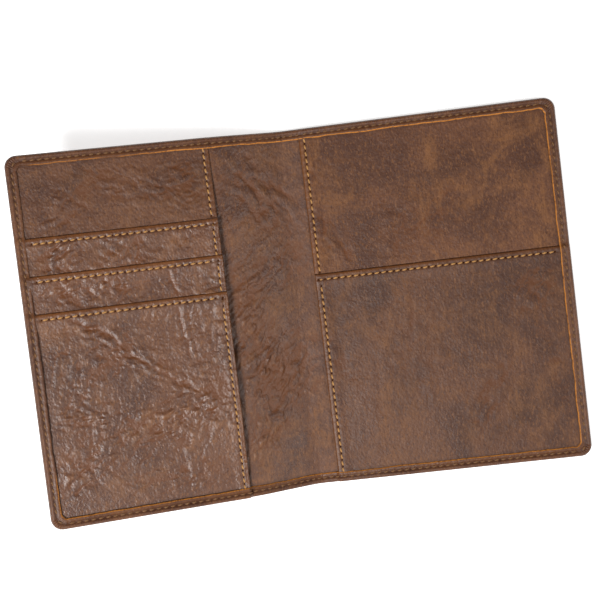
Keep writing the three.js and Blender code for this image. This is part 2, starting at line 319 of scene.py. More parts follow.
SLEEVE_CREASES = [
    (12, 38, 22, 17, 2.0, 1.3, 0.12), (16, 30, 21, 15, 1.0, 1.0, 0.10), (47, 8, 43, -16, -1.2, 1.2, 0.14),
    (51, 4, 49, -12, 1.0, 0.9, 0.10), (68, -46, 84, -24, 2.5, 1.4, 0.12), (86, 0, 98, -16, 2.0, 1.4, 0.08),
]
OUTER_CREASES = [
    (-12, 40, -22, 20, 1.5, 1.2, 0.08), (10, -44, 20, -24, 1.5, 1.2, 0.08),
    (-60, -50, -40, -62, 2, 1.4, 0.05), (60, 52, 84, 60, 2, 1.4, 0.05),
    (-90, 10, -84, -20, 3, 1.6, 0.05), (12, 10, 16, -20, 1.2, 1.2, 0.08),
]

# Patches of fine wrinkles as middle (s, y), reach along and across the lines, direction of the
# lines in degrees from +s towards +y, spacing and depth.
CARD_WRINKLES = [
    (-68, -10, 30, 6, -34, 2.4, 0.26), (-90, -31, 15, 7, -8, 2.5, 0.30), (-60, -36, 26, 8, 22, 3.0, 0.22),
    (-92, -50, 12, 9, 18, 3.4, 0.20), (-60, -58, 28, 7, 8, 3.0, 0.14), (-48, -3, 11, 3, -80, 1.9, 0.20),
    (-40, -32, 20, 5, 62, 2.6, 0.16), (-82, -12, 9, 7, 40, 2.4, 0.22), (-97, -8, 16, 4, 70, 2.8, 0.16),
    (-62, 56, 24, 8, -26, 2.6, 0.16), (-41, 54, 6, 12, 12, 2.3, 0.22), (-88, 50, 18, 8, 42, 3.6, 0.14),
    (-93, 32, 9, 6, 24, 2.3, 0.24), (-68, 32, 9, 9, 48, 3.2, 0.20), (-44, 31, 8, 7, 30, 2.6, 0.12),
    (-95, 18, 8, 6, 35, 2.4, 0.24), (-74, 18, 7, 8, 80, 2.8, 0.16), (-50, 17, 7, 8, -70, 2.8, 0.16),
]
LINING_WRINKLES = [
    (-20, -15, 15, 22, 46, 2.2, 0.38), (-25, 9, 11, 12, 34, 2.2, 0.32), (-12, 48, 20, 11, -52, 3.6, 0.28),
    (-21, -44, 15, 9, 62, 2.3, 0.34), (-8, -26, 16, 12, 50, 2.8, 0.20), (-10, 20, 16, 14, 30, 2.8, 0.16),
]
SLEEVE_WRINKLES = [
    (14, 27, 13, 5, -54, 2.6, 0.26), (11, 55, 9, 4, -60, 2.4, 0.14), (12, -20, 5, 30, 30, 2.4, 0.14),
    (94, -3, 13, 9, 48, 2.4, 0.20), (72, -42, 16, 6, 58, 3.0, 0.18), (100, -40, 6, 22, 20, 2.4, 0.14),
    (50, 30, 26, 16, 40, 3.0, 0.09), (45, -20, 30, 24, 60, 3.2, 0.09),
]
DEEP_CREASE = 0.25  # depths at which a line takes the full painted shade of a valley
DEEP_WRINKLE = 0.2


def creases(s, y, lines_of, seed):
    """Height change and painted crease shading (1 for painted shade in a valley, -1 for a painted highlight
    on a ridge) of a set of creases.
    """
    height = np.zeros_like(s)
    mask = np.zeros_like(s)
    for number, (s0, y0, s1, y1, bow, width, depth) in enumerate(lines_of):
        length = math.hypot(s1 - s0, y1 - y0)
        ds, dy = (s1 - s0) / length, (y1 - y0) / length
        along = ((s - s0) * ds + (y - y0) * dy) / length
        across = (s - s0) * -dy + (y - y0) * ds
        wander = value_noise(along * length / 5.0, along * 0.0 + number, seed)
        wander = wander + 0.4 * value_noise(along * length / 1.9, along * 0.0 + number, seed + 7)
        off = across - bow * 4.0 * along * (1.0 - along) - 0.8 * wander
        fade = smooth(-0.05, 0.25, along) * smooth(1.05, 0.75, along)
        fade = fade * (0.75 + 0.35 * value_noise(along * length / 2.6, along * 0.0, seed + number))
        valley = hump(off, 0.0, width * 0.6)
        ridge = hump(off, width * 1.5, width) + 0.6 * hump(off, -width * 1.5, width)
        height = height + depth * fade * (0.5 * ridge - valley)
        mask = mask + fade * (valley - 0.3 * ridge) * min(1.0, depth / DEEP_CREASE)
    return height, mask


def turned(s, y, degrees):
    """Coordinates along and across a direction, in degrees from +s towards +y."""
    cosine, sine = math.cos(math.radians(degrees)), math.sin(math.radians(degrees))
    return s * cosine + y * sine, y * cosine - s * sine


def wrinkles(s, y, patches, seed):
    """Height change and painted crease shading of patches of fine wrinkles: round ridges, sharp valleys."""
    height = np.zeros_like(s)
    mask = np.zeros_like(s)
    for number, (s0, y0, long, wide, degrees, spacing, depth) in enumerate(patches):
        along, across = turned(s - s0, y - y0, degrees)
        ragged = 1.0 + 0.35 * fractal(s / 7.0, y / 7.0, seed + number)
        inside = hump(along, 0.0, long) * hump(across, 0.0, wide) * ragged
        bend = 0.8 * fractal(s / 8.0, y / 8.0, seed + 30 + number)
        ridge = np.abs(fractal(along / (2.6 * spacing), across / spacing + bend, seed + 60 + number))
        height = height + depth * inside * (4.0 * ridge - 1.0)
        lined = smooth(0.16, 0.02, ridge) - 0.3 * smooth(0.2, 0.5, ridge)
        mask = mask + inside * min(1.0, depth / DEEP_WRINKLE) * (lined + 0.25)
    return height, mask


def soft_folds(s, y, degrees, spacing, seed):
    """Long soft folds in one direction, round tops from 0 to 1."""
    along, across = turned(s, y, degrees)
    bend = 0.9 * fractal(s / 15.0, y / 15.0, seed + 1)
    return np.clip(2.0 * np.abs(fractal(along / (2.4 * spacing), across / spacing + bend, seed)), 0.0, 1.0)


FOLD_DIRECTIONS = (-38, 24, 72)
FOLD_SPACINGS = (3.6, 3.1, 2.6)
FOLD_HEIGHT = 0.26
PEBBLE_HEIGHT = 0.10


def relief(s, y, lines_of, patches, seed, strength, wave):
    """Height and painted crease shading of a leather surface: creases, wrinkles, soft folds and slow waves.
    """
    height, mask = creases(s, y, lines_of, seed)
    more, more_mask = wrinkles(s, y, patches, seed + 100)
    height, mask = height + more, mask + more_mask
    for number, degrees in enumerate(FOLD_DIRECTIONS):
        here = strength * smooth(-0.1, 0.5, fractal(s / 18.0, y / 18.0, seed + 40 + number))
        folds = soft_folds(s, y, degrees, FOLD_SPACINGS[number], seed + 10 * number)
        height = height + FOLD_HEIGHT * here * (folds - 0.4)
        # painted shade in the folds' valleys and a painted highlight on their tops
        mask = mask + here * (0.45 * smooth(0.25, 0.02, folds) - 0.25 * smooth(0.45, 0.9, folds))
    pebbled = 0.2 + 0.8 * smooth(0.0, 0.5, fractal(s / 12.0, y / 12.0, seed + 50))
    small = soft_folds(s, y, 15.0, 1.9, seed + 5)
    height = height + strength * PEBBLE_HEIGHT * pebbled * (small - 0.4)
    height = height + wave * fractal(s / 21.0, y / 17.0, seed + 9)
    return height, mask


# ---- Mesh making

# Marks are values from 0 to 1 on a leather's points, for its material.
# Of these marks, the crease one paints shade into valleys and a highlight onto ridges, the stain one mixes a
# stain with painted shade, and the hole one paints shade into the holes.
MARKS = ("hole", "raw", "burnish", "crease", "dark", "stain")
SHARP = math.radians(50)


def make_object(name, flat, faces, attributes, sharp=SHARP):
    """A mesh of a flat layout, placed at rest. It keeps the layout as an attribute."""
    flat, faces, attributes = drop_unused(flat, faces, {"flat": flat, **attributes})
    mesh = bpy.data.meshes.new(name)
    mesh.from_pydata(place(*flat.T).tolist(), [], faces)
    for key, values in attributes.items():
        kind = "FLOAT_VECTOR" if values.ndim == 2 else "FLOAT"
        layer = mesh.attributes.new(key, kind, "POINT")
        field = "vector" if values.ndim == 2 else "value"
        layer.data.foreach_set(field, values.astype(np.float32).ravel())
    mesh.validate()
    mesh.shade_smooth()
    mesh.set_sharp_from_angle(angle=sharp)
    obj = bpy.data.objects.new(name, mesh)
    bpy.context.scene.collection.objects.link(obj)
    return obj


def drop_unused(points, faces, attributes):
    """Leaves out the points that no face uses."""
    used = np.unique(np.concatenate([np.array(face) for face in faces]))
    place_of = np.zeros(len(points), int)
    place_of[used] = np.arange(len(used))
    faces = [place_of[face].tolist() for face in faces]
    return points[used], faces, {key: values[used] for key, values in attributes.items()}


def grid_faces(index):
    """Squares between the neighbours in a grid of point numbers, facing up for a grid over (s, y)."""
    return np.stack([index[:-1, :-1], index[1:, :-1], index[1:, 1:], index[:-1, 1:]], -1).reshape(-1, 4)


def coarse_faces(index, every):
    """Faces over a grid that use only every so many lines inside it and all points of its border."""
    count_s, count_y = index.shape
    cuts_s = [*range(0, count_s - 1, every), count_s - 1]
    cuts_y = [*range(0, count_y - 1, every), count_y - 1]
    faces = []
    for i0, i1 in zip(cuts_s, cuts_s[1:]):
        for j0, j1 in zip(cuts_y, cuts_y[1:]):
            along = range(i0, i1 + 1), (i0, i1)
            up = range(j0, j1 + 1), (j0, j1)
            loop = [(i, j0) for i in along[j0 > 0]]
            loop += [(i1, j) for j in up[i1 < count_s - 1]][1:]
            loop += [(i, j1) for i in reversed(along[j1 < count_y - 1])][1:]
            loop += [(i0, j) for j in reversed(up[i0 > 0])][1:-1]
            faces.append([index[at] for at in loop])
    return faces


def ring(index):
    """Point numbers round the border of a grid, anticlockwise seen from above."""
    return np.concatenate([index[:, 0], index[-1, 1:], index[-2::-1, -1], index[0, -2:0:-1]])


LINE_S = STITCH_S / 4
LINE_Y = STITCH_Y / 4
FINE_S = STITCH_S / 6  # for the card panel, which is creased most
FINE_Y = STITCH_Y / 6
NEAREST = 0.07  # grid lines nearer to each other than this are merged
NEAR_FOLD = np.array([0.17, 0.34, 0.51])  # extra lines beside the middle of the fold
UNDERSIDE_EVERY = 6
EDGE_STEPS = np.array([0.0, 0.08, 0.2, 0.36, 0.6, 0.9])
ROW_STEPS = np.array([-0.75, -0.4, 0.0, 0.4, 0.75])


def lines(low, high, step, extra=()):
    """Grid lines from low to high on multiples of step, and extra ones."""
    inner = np.arange(math.ceil(low / step), math.floor(high / step) + 1) * step
    values = np.unique(np.round(np.concatenate([[low, high], inner, np.array(extra, float)]), 4))
    values = values[(values >= low) & (values <= high)]
    fixed = np.isin(values, np.round(np.array([low, high, *extra], float), 4))
    keep = [0]
    for i in range(1, len(values)):
        if values[i] - values[keep[-1]] > NEAREST:
            keep.append(i)
        elif fixed[i] and not fixed[keep[-1]]:
            keep[-1] = i
    return values[keep]


EDGE_RADIUS = 0.55
EDGE_SLOPE = 0.2
TURNED_LIP = 0.3  # a free edge is turned under, so it stands this much higher
PUCKER = 0.07
PUCKER_WIDTH = 1.7
HOLE_DEPTH = 0.3
THINNEST = 0.06


def edge_round(from_edge):
    """How far a rounded edge drops below the face at a distance inside it."""
    inside = np.clip(1.0 - from_edge / EDGE_RADIUS, 0.0, 1.0)
    return EDGE_RADIUS * (1.0 - np.sqrt(1.0 - inside * inside)) + EDGE_SLOPE * smooth(1.5, 0.0, from_edge)


def sheet(name, s_lines, y_lines, low, thickness, free=(), rows=(), lines_of=(), patches=(), seed=0,
          strength=1.0, wave=0.0):
    """A leather sheet over a grid. free holds its turned edges as functions of (s, y) that give
    the distance inside the edge, and rows its stitch rows as upright_row and cross_row give them."""
    s, y = np.meshgrid(s_lines, y_lines, indexing="ij")
    bottom = low(s, y)
    height, crease = relief(s, y, lines_of, patches, seed, strength, wave)
    to_hem_s, to_hem_y = HEM_S - np.abs(s), HEM_Y - np.abs(y)
    calm = smooth(-0.3, 5.0, to_hem_y) * smooth(-0.3, 5.0, to_hem_s)
    marks = {key: np.zeros_like(s) for key in MARKS}
    # painted shade where the sheet runs in under the hem
    marks["stain"] = 0.6 * smooth(1.2, 0.2, np.minimum(to_hem_s, to_hem_y))
    drop = np.zeros_like(s)
    top = bottom + thickness
    for distance in free:
        inside = distance(s, y)
        calm = calm * smooth(0.2, 4.5, inside)
        top = top + TURNED_LIP * smooth(6.6, 2.6, inside)
        drop = np.maximum(drop, edge_round(inside))
        marks["burnish"] = np.maximum(marks["burnish"], smooth(2.2, 0.2, inside))
    for along_row, across_row, pitch, reach in rows:
        along, across, near = along_row(s, y), across_row(s, y), reach(s, y)
        hole = hump(from_hole(along, pitch), 0.0, HOLE) * hump(across, 0.0, HOLE_WIDTH) * near
        pressed = hump(across, 0.0, ROW_WIDTH)
        pucker = np.cos(2.0 * math.pi * along / pitch) * hump(across, 0.0, PUCKER_WIDTH)
        marks["hole"] = np.maximum(marks["hole"], hole)
        # a stain mixed with painted shade along the pressed stitch row
        marks["stain"] = np.maximum(marks["stain"], 0.45 * pressed * near)
        top = top - (ROW_DEPTH * pressed + PUCKER * pucker) * near
    # painted shade in the creases and a painted highlight on their ridges
    marks["crease"] = crease * calm
    top = np.maximum(top + calm * height - drop - HOLE_DEPTH * marks["hole"], bottom + THINNEST)

    upper = np.arange(s.size).reshape(s.shape)
    lower = upper + s.size
    border, under = ring(upper), ring(lower)
    rim = np.stack([border, under, np.roll(under, -1), np.roll(border, -1)], -1)
    underside = [face[::-1] for face in coarse_faces(lower, UNDERSIDE_EVERY)]
    flat = np.concatenate([np.stack([s, y, h], -1).reshape(-1, 3) for h in (top, bottom)])
    attributes = {key: np.concatenate([marks[key].ravel(), np.zeros(s.size)]) for key in MARKS}
    attributes["dark"][s.size:] = 1.0
    return make_object(name, flat, [*grid_faces(upper), *underside, *rim], attributes)


# ---- Stitches

THREAD_LENGTH = 1.95
THREAD_HIGH = 0.42
THREAD_SWELL = 1.2  # a stitch bulges past the width of the row's strand
THREAD_ARCH = 0.30  # its middle stands this far above its ends
THREAD_SUNK = 0.16
END_GIRTH = 0.03
SLANT = math.radians(12)
RINGS = 7
SIDES = 8


def stitches(name, marks):
    """One closed thread segment for each mark: (s, y, h, direction, 1 inside or -1 outside)."""
    along = np.cos(np.linspace(math.pi, 0.0, RINGS))
    around = np.linspace(0.0, 2.0 * math.pi, SIDES, endpoint=False)
    a, t = np.meshgrid(along, around, indexing="ij")
    girth = np.sqrt(np.clip(1.0 - np.abs(a) ** 3.2, 0.0, 1.0)) * (1.0 - END_GIRTH) + END_GIRTH
    length = a * THREAD_LENGTH / 2
    width = np.cos(t) * THREAD_HALF * THREAD_SWELL * girth
    rise = np.sin(t) * THREAD_HIGH / 2 * girth + THREAD_ARCH * (1.0 - a * a) - THREAD_SUNK
    index = np.arange(RINGS * SIDES).reshape(RINGS, SIDES)
    closed = np.concatenate([index, index[:, :1]], 1)
    faces_of_one = [*grid_faces(closed)[:, ::-1], index[0][::-1], index[-1]]
    points, faces, twist = [], [], []
    for number, (s, y, h, direction, up) in enumerate(marks):
        turn = direction + SLANT
        ds = length * math.cos(turn) - width * math.sin(turn)
        dy = length * math.sin(turn) + width * math.cos(turn)
        points.append(np.stack([s + ds, y + dy, h + up * rise], -1).reshape(-1, 3))
        faces += [face[::up] + number * RINGS * SIDES for face in faces_of_one]
        twist.append(np.stack([length, width, np.full_like(width, number)], -1).reshape(-1, 3))
    attributes = {"twist": np.concatenate(twist)}
    return make_object(name, np.concatenate(points), faces, attributes, math.radians(80))


def row_marks(low, high, pitch):
    """Middles of the stitches between the holes on multiples of the pitch."""
    first, last = math.ceil(low / pitch), math.floor(high / pitch)
    return [(k + 0.5) * pitch for k in range(first, last)]


# ---- Materials


def linear(red, green, blue):
    """A colour given in 0 to 255 screen values."""
    shares = [value / 255 for value in (red, green, blue)]
    return (*[c / 12.92 if c < 0.04 else ((c + 0.055) / 1.055) ** 2.4 for c in shares], 1.0)


class Shader:
    """Short calls for building a node material. Each makes one node and returns its output."""

    def __init__(self, name):
        self.material = bpy.data.materials.new(name)
        self.material.use_nodes = True
        self.tree = self.material.node_tree
        self.tree.nodes.clear()
        self.out = self.node("ShaderNodeOutputMaterial")
        self.surface = self.node("ShaderNodeBsdfPrincipled")
        self.tree.links.new(self.surface.outputs[0], self.out.inputs["Surface"])

    def node(self, kind, **settings):
        made = self.tree.nodes.new(kind)
        for key, value in settings.items():
            setattr(made, key, value)
        return made

    def feed(self, socket, value):
        if isinstance(value, bpy.types.NodeSocket):
            self.tree.links.new(value, socket)
        else:
            socket.default_value = value

    def attribute(self, name, output="Fac"):
        return self.node("ShaderNodeAttribute", attribute_name=name).outputs[output]

    def math(self, operation, a, b, clamp=False):
        made = self.node("ShaderNodeMath", operation=operation, use_clamp=clamp)
        for socket, value in zip(made.inputs, (a, b)):
            self.feed(socket, value)
        return made.outputs[0]

    def mix(self, share, a, b):
        made = self.node("ShaderNodeMix", data_type="RGBA")
        self.feed(made.inputs[0], share)
        self.feed(made.inputs[6], a)
        self.feed(made.inputs[7], b)
        return made.outputs[2]

    def mapped(self, vector, scale=(1.0, 1.0, 1.0), turn=0.0, offset=(0.0, 0.0, 0.0)):
        made = self.node("ShaderNodeMapping", vector_type="POINT")
        self.feed(made.inputs["Vector"], vector)
        made.inputs["Scale"].default_value = scale
        made.inputs["Rotation"].default_value = (0.0, 0.0, turn)
        made.inputs["Location"].default_value = offset
        return made.outputs[0]

    def noise(self, vector, scale, detail=3.0, rough=0.5, distortion=0.0):
        made = self.node("ShaderNodeTexNoise")
        self.feed(made.inputs["Vector"], vector)
        settings = {"Scale": scale, "Detail": detail, "Roughness": rough, "Distortion": distortion}
        for key, value in settings.items():
            made.inputs[key].default_value = value
        return made.outputs[0]

    def cells(self, vector, scale, feature="F1"):
        made = self.node("ShaderNodeTexVoronoi", feature=feature)
        self.feed(made.inputs["Vector"], vector)
        made.inputs["Scale"].default_value = scale
        return made.outputs["Distance"]

    def range(self, value, low, high, to_low=0.0, to_high=1.0):
        made = self.node("ShaderNodeMapRange", interpolation_type="SMOOTHSTEP")
        self.feed(made.inputs["Value"], value)
        for socket, number in zip(list(made.inputs)[1:5], (low, high, to_low, to_high)):
            self.feed(socket, number)
        return made.outputs[0]

    def bump(self, height, distance, strength=1.0, below=None):
        """A normal from a height. distance is in millimetres, and below 0 for pits."""
        made = self.node("ShaderNodeBump")
        made.inputs["Strength"].default_value = strength
        made.inputs["Distance"].default_value = abs(distance) * MM
        made.invert = distance < 0
        self.feed(made.inputs["Height"], height)
        if below is not None:
            self.feed(made.inputs["Normal"], below)
        return made.outputs[0]

    def finish(self, color, roughness, normal, specular):
        inputs = self.surface.inputs
        self.feed(inputs["Base Color"], color)
        self.feed(inputs["Roughness"], roughness)
        self.feed(inputs["Normal"], normal)
        self.feed(inputs["Specular IOR Level"], specular)
        return self.material


DARK = linear(76, 46, 32)
MID = linear(104, 68, 48)
TAN = linear(138, 94, 60)
# painted shade for crease valleys
VALLEY_SHADE = linear(102, 60, 32)
BURNISHED = linear(120, 74, 40)
RAW_EDGE = linear(204, 136, 74)
# painted shade for the stitch holes
HOLE_SHADE = linear(50, 29, 17)
# a stain mixed with painted shade
STAIN_AND_SHADE = linear(66, 38, 24)
UNDERSIDE = linear(96, 74, 60)

# Tints laid one over another: noise, where the tint starts, where it is full, its share, its colour.
TINTS = [
    ("streaks", 0.52, 0.78, 0.30, TAN), ("streaks", 0.46, 0.22, 0.45, DARK),
    ("flecks", 0.55, 0.72, 0.48, TAN), ("flecks", 0.45, 0.28, 0.55, DARK),
    ("hairs", 0.52, 0.70, 0.62, TAN), ("hairs", 0.48, 0.30, 0.85, DARK),
    # the crease tints paint shade into valleys and a highlight onto ridges
    ("pores", 0.22, 0.05, 0.22, DARK), ("crease", 0.12, 0.8, 0.9, VALLEY_SHADE), ("crease", -0.08, -0.6, 0.42, TAN),
]


def hide_patterns(m, offset, turn):
    """Noises of one part of the hide. turn is the direction of its streaks."""
    hide = m.mapped(m.attribute("flat", "Vector"), offset=offset)
    return {
        "hide": hide,
        "clouds": m.noise(hide, 0.030, 4.0, 0.55, 1.2),
        "patches": m.noise(m.mapped(hide, offset=(37.0, 11.0, 5.0)), 0.062, 5.0, 0.62, 0.9),
        "streaks": m.noise(m.mapped(hide, (0.75, 0.10, 0.3), turn), 1.0, 4.0, 0.65, 0.5),
        "flecks": m.noise(m.mapped(hide, (0.9, 0.5, 1.0), turn + 0.3), 0.8, 4.0, 0.65, 0.9),
        "hairs": m.noise(m.mapped(hide, (1.5, 0.65, 1.0), turn + 0.15), 1.0, 3.0, 0.65, 0.9),
        "pores": m.cells(hide, 1.55),
        "grain": m.cells(m.mapped(hide, (1.0, 0.8, 1.0), turn), 1.25, "SMOOTH_F1"),
        "pebble": m.noise(hide, 0.42, 3.0, 0.55, 0.8),
        "fuzz": m.noise(hide, 4.2, 2.0, 0.6),
        "crease": m.attribute("crease"),
    }


def hide_color(m, patterns, tan, burnish, raw, shade):
    """Colour from the hide's own mottling, with painted shade and highlight at creases, then from wear:
    rubbed, hidden, stained with painted shade mixed in, cut, and painted shade in the holes.
    """
    color = m.mix(m.range(patterns["clouds"], 0.34, 0.66), DARK, MID)
    streaked = m.range(patterns["streaks"], 0.3, 0.7, 0.45, 1.0)
    tanned = m.math("MULTIPLY", m.range(patterns["patches"], 0.45, 0.71), streaked)
    color = m.mix(m.math("MULTIPLY", tanned, tan, clamp=True), color, TAN)
    for pattern, start, full, share, tint in TINTS:
        color = m.mix(m.range(patterns[pattern], start, full, 0.0, share), color, tint)
    color = m.mix(m.math("MULTIPLY", burnish, 0.75), color, BURNISHED)
    color = m.mix(m.math("MULTIPLY", m.attribute("dark"), 0.8), color, UNDERSIDE)
    # a stain mixed with painted shade
    color = m.mix(m.math("MULTIPLY", m.attribute("stain"), 0.85, clamp=True), color, STAIN_AND_SHADE)
    color = m.mix(raw, color, m.mix(m.range(patterns["flecks"], 0.25, 0.55), BURNISHED, RAW_EDGE))
    # painted shade in the stitch holes
    color = m.mix(m.range(m.attribute("hole"), 0.25, 0.85), color, HOLE_SHADE)
    tone = m.node("ShaderNodeHueSaturation")
    tone.inputs["Value"].default_value = shade
    tone.inputs["Saturation"].default_value = 1.06
    m.feed(tone.inputs["Color"], color)
    return tone.outputs[0]


def hide_normal(m, patterns, gloss):
    normal = m.bump(patterns["pebble"], 0.8, 0.25)
    normal = m.bump(patterns["grain"], -0.30, 0.30 + 0.16 * gloss, normal)
    return m.bump(patterns["fuzz"], 0.10, 0.45, normal)


def hide_roughness(m, patterns, gloss, burnish, raw, dull_from):
    """dull_from is the s beyond which the leather is less polished."""
    roughness = m.range(patterns["patches"], 0.25, 0.75, 0.58 - 0.22 * gloss, 0.70 - 0.22 * gloss)
    roughness = m.math("ADD", roughness, m.range(patterns["fuzz"], 0.3, 0.7, -0.04, 0.06))
    roughness = m.math("ADD", roughness, m.math("MULTIPLY", raw, 0.2))
    if dull_from is not None:
        across = m.node("ShaderNodeSeparateXYZ")
        m.feed(across.inputs[0], m.attribute("flat", "Vector"))
        dull = m.range(across.outputs["X"], dull_from - 6.0, dull_from + 6.0, 0.0, 0.2)
        roughness = m.math("ADD", roughness, dull)
    return m.math("SUBTRACT", roughness, m.math("MULTIPLY", burnish, 0.16), clamp=True)


def leather(name, offset=(0.0, 0.0, 0.0), tan=0.5, gloss=0.5, turn=-0.9, shade=1.0, dull_from=None):
    """Waxed pull-up leather. offset picks another part of the hide, tan how much light mottling
    it has, gloss how shiny it is and shade its overall brightness."""
    m = Shader(name)
    patterns = hide_patterns(m, offset, turn)
    raw = m.range(m.attribute("raw"), 0.35, 0.75)
    rubbed = m.range(patterns["patches"], 0.30, 0.62, 0.35, 1.0)
    burnish = m.math("MULTIPLY", m.attribute("burnish"), rubbed)
    color = hide_color(m, patterns, tan, burnish, raw, shade)
    roughness = hide_roughness(m, patterns, gloss, burnish, raw, dull_from)
    shine = m.range(m.attribute("hole"), 0.1, 0.5, 0.2 + 0.5 * gloss, 0.0)
    return m.finish(color, roughness, hide_normal(m, patterns, gloss), shine)


def waxed_thread(name, pale, deep):
    """Twisted thread in two shades. Each stitch's twist starts at its own number."""
    m = Shader(name)
    ply = m.node("ShaderNodeTexWave", wave_type="BANDS", bands_direction="DIAGONAL")
    m.feed(ply.inputs["Vector"], m.attribute("twist", "Vector"))
    ply.inputs["Scale"].default_value = 1.1
    fuzz = m.noise(m.attribute("flat", "Vector"), 2.4, 3.0, 0.6)
    color = m.mix(ply.outputs["Fac"], deep, pale)
    color = m.mix(m.range(fuzz, 0.35, 0.65, 0.0, 0.6), color, deep)
    normal = m.bump(ply.outputs["Fac"], 0.12, 0.7)
    return m.finish(color, m.range(fuzz, 0.3, 0.7, 0.5, 0.7), normal, 0.4)


def fibre_board(name):
    """Grey pulp with darker specks."""
    m = Shader(name)
    flat = m.attribute("flat", "Vector")
    pulp = m.noise(flat, 0.8, 5.0, 0.7, 0.4)
    specks = m.cells(flat, 1.1)
    color = m.mix(m.range(pulp, 0.3, 0.7), linear(108, 103, 94), linear(146, 140, 128))
    color = m.mix(m.range(specks, 0.2, 0.05, 0.0, 0.5), color, linear(78, 72, 64))
    return m.finish(color, 0.9, m.bump(pulp, 0.1, 0.5), 0.2)


def taffeta(name):
    """Thin dark plain-woven cloth."""
    m = Shader(name)
    warp = m.node("ShaderNodeTexWave", wave_type="BANDS", bands_direction="X")
    weft = m.node("ShaderNodeTexWave", wave_type="BANDS", bands_direction="Y")
    for wave in (warp, weft):
        m.feed(wave.inputs["Vector"], m.attribute("flat", "Vector"))
        wave.inputs["Scale"].default_value = 1.6
    weave = m.math("MAXIMUM", warp.outputs["Fac"], weft.outputs["Fac"])
    color = m.mix(weave, linear(38, 32, 29), linear(64, 54, 48))
    return m.finish(color, 0.75, m.bump(weave, 0.05, 0.6), 0.4)


# ---- Putting pieces on their bodies

BODY = {-1: "front_cover", 1: "back_cover"}


def bend(obj, side):
    """Bakes a piece's placement into its mesh."""
    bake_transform(obj)


def settle(obj, material, slot, side, *nodes, bends=False):
    """Finishes a piece of one cover (side 1 for the back, -1 for the front) that replaces nodes."""
    obj.data.materials.append(material)
    if bends:
        bend(obj, side)
    else:
        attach(obj, BODY[side])
    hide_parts(*nodes)


# ---- Outer leather with its turned edge

BAND = 7.5  # width of the swept band; the plain face fills the rest
RAW_RADIUS = 2.4  # corner radius of the hem's cut edge
RIM_DEPTH = 1.5
RIM_STEPS = 12
HEM_PUFF = 0.3  # the hem swells outside its stitches
HEM_LIES_AT = 3.2  # the layers' height this far inside the edge carries the hem
OUTER_SEED = 81
SKIN_EVERY = 3
ARC_STEPS = 28
STATION = 0.69  # length of edge that one lattice line stands for in the noises
PLEATS = 7
STEADY = 12.0  # lattice lines nearer than this to a corner give way to it


def corner_radius(inset):
    """Corner radius of the line that runs a given distance inside the edge."""
    hem = CORNER + (RAW_RADIUS - CORNER) * inset / HEM_WIDTH
    face = RAW_RADIUS * (BAND - inset) / (BAND - HEM_WIDTH)
    return max(0.0, hem if inset < HEM_WIDTH else face)


def squeezed(values, end, new_end):
    """Moves lattice lines near the end so that the last one falls on new_end."""
    start = end - STEADY
    share = np.clip((values - start) / STEADY, 0.0, None)
    return np.where(values > start, start + share * (new_end - start), values)


_end_u, _end_y = REACH - CORNER, TOP - CORNER
_run_u = lines(0.0, _end_u, LINE_S, extra=NEAR_FOLD)
_run_y = lines(0.0, _end_y, LINE_Y)
_run_y = np.concatenate([-_run_y[::-1], _run_y[1:]])


def edge_runs(end_u, end_y):
    """The lattice lines of the straight edges, for straight edges that end elsewhere."""
    return squeezed(_run_u, _end_u, end_u), np.sign(_run_y) * squeezed(np.abs(_run_y), _end_y, end_y)


def edge_line(inset):
    """u and y along the bottom, fore and top edges of a cover at a distance inside the edge."""
    radius = corner_radius(inset)
    end_u, end_y = REACH - inset - radius, TOP - inset - radius
    run_u, run_y = edge_runs(end_u, end_y)
    angles = np.linspace(-math.pi / 2, 0.0, ARC_STEPS + 1)[1:-1]
    arc_u, arc_y = end_u + radius * np.cos(angles), -end_y + radius * np.sin(angles)
    fore_u = np.full(len(run_y), REACH - inset)
    side_y = np.full(len(run_u), TOP - inset)
    u = np.concatenate([run_u, arc_u, fore_u, arc_u[::-1], run_u[::-1]])
    return u, np.concatenate([-side_y, arc_y, run_y, -arc_y[::-1], side_y])


def corner_turn():
    """0 on the straight edges; rises from 0 to 1 round each corner, for the pleats."""
    arc = np.linspace(0.0, 1.0, ARC_STEPS + 1)[1:-1]
    straight_u, straight_y = np.zeros(len(_run_u)), np.zeros(len(_run_y))
    return np.concatenate([straight_u, arc, straight_y, arc, straight_u])


class Band:
    """The border of one cover's outer leather: columns of points that run round the edge."""

    def __init__(self, side):
        self.side = side
        self.columns = []
        self.marks = []
        turn = corner_turn()
        self.station = np.arange(len(turn)) * STATION
        at_corner = (turn > 0).astype(float)
        self.pleat = (1.0 - np.abs(np.sin(turn * math.pi * PLEATS))) * at_corner
        self.waver = self.noise(fractal, 9.0, 70)
        u, y = edge_line(HEM_LIES_AT)
        self.under = stack_top(side * u, y) + REST / 2
        self.over = self.under + HEM
        u, y = edge_line(EDGE_ROW)
        across_fold = np.abs(y) > TOP - EDGE_ROW - 0.01
        along = np.where(across_fold, u, y)
        pitch = np.where(across_fold, STITCH_S, STITCH_Y)
        self.holes = hump(from_hole(along, pitch), 0.0, HOLE) * (1.0 - 0.7 * at_corner)
        self.crinkle = 0.16 * smooth(16.0, 5.0, u) * self.noise(value_noise, 1.15, 75)

    def noise(self, kind, spacing, number):
        return kind(self.station / spacing, self.station * 0.0, OUTER_SEED + number)

    def add(self, inset, height, shift=0.0, **marks):
        """Adds a column at a distance inside the edge. shift moves its points further in."""
        u, y = edge_line(inset)
        if np.any(shift):
            inner_u, inner_y = edge_line(inset + 0.5)
            u = u + (inner_u - u) * 2.0 * shift
            y = y + (inner_y - y) * 2.0 * shift
        full = np.ones(len(u))
        self.columns.append(np.stack([self.side * u, y, height * full], -1))
        self.marks.append([marks.get(key, 0.0) * full for key in MARKS])


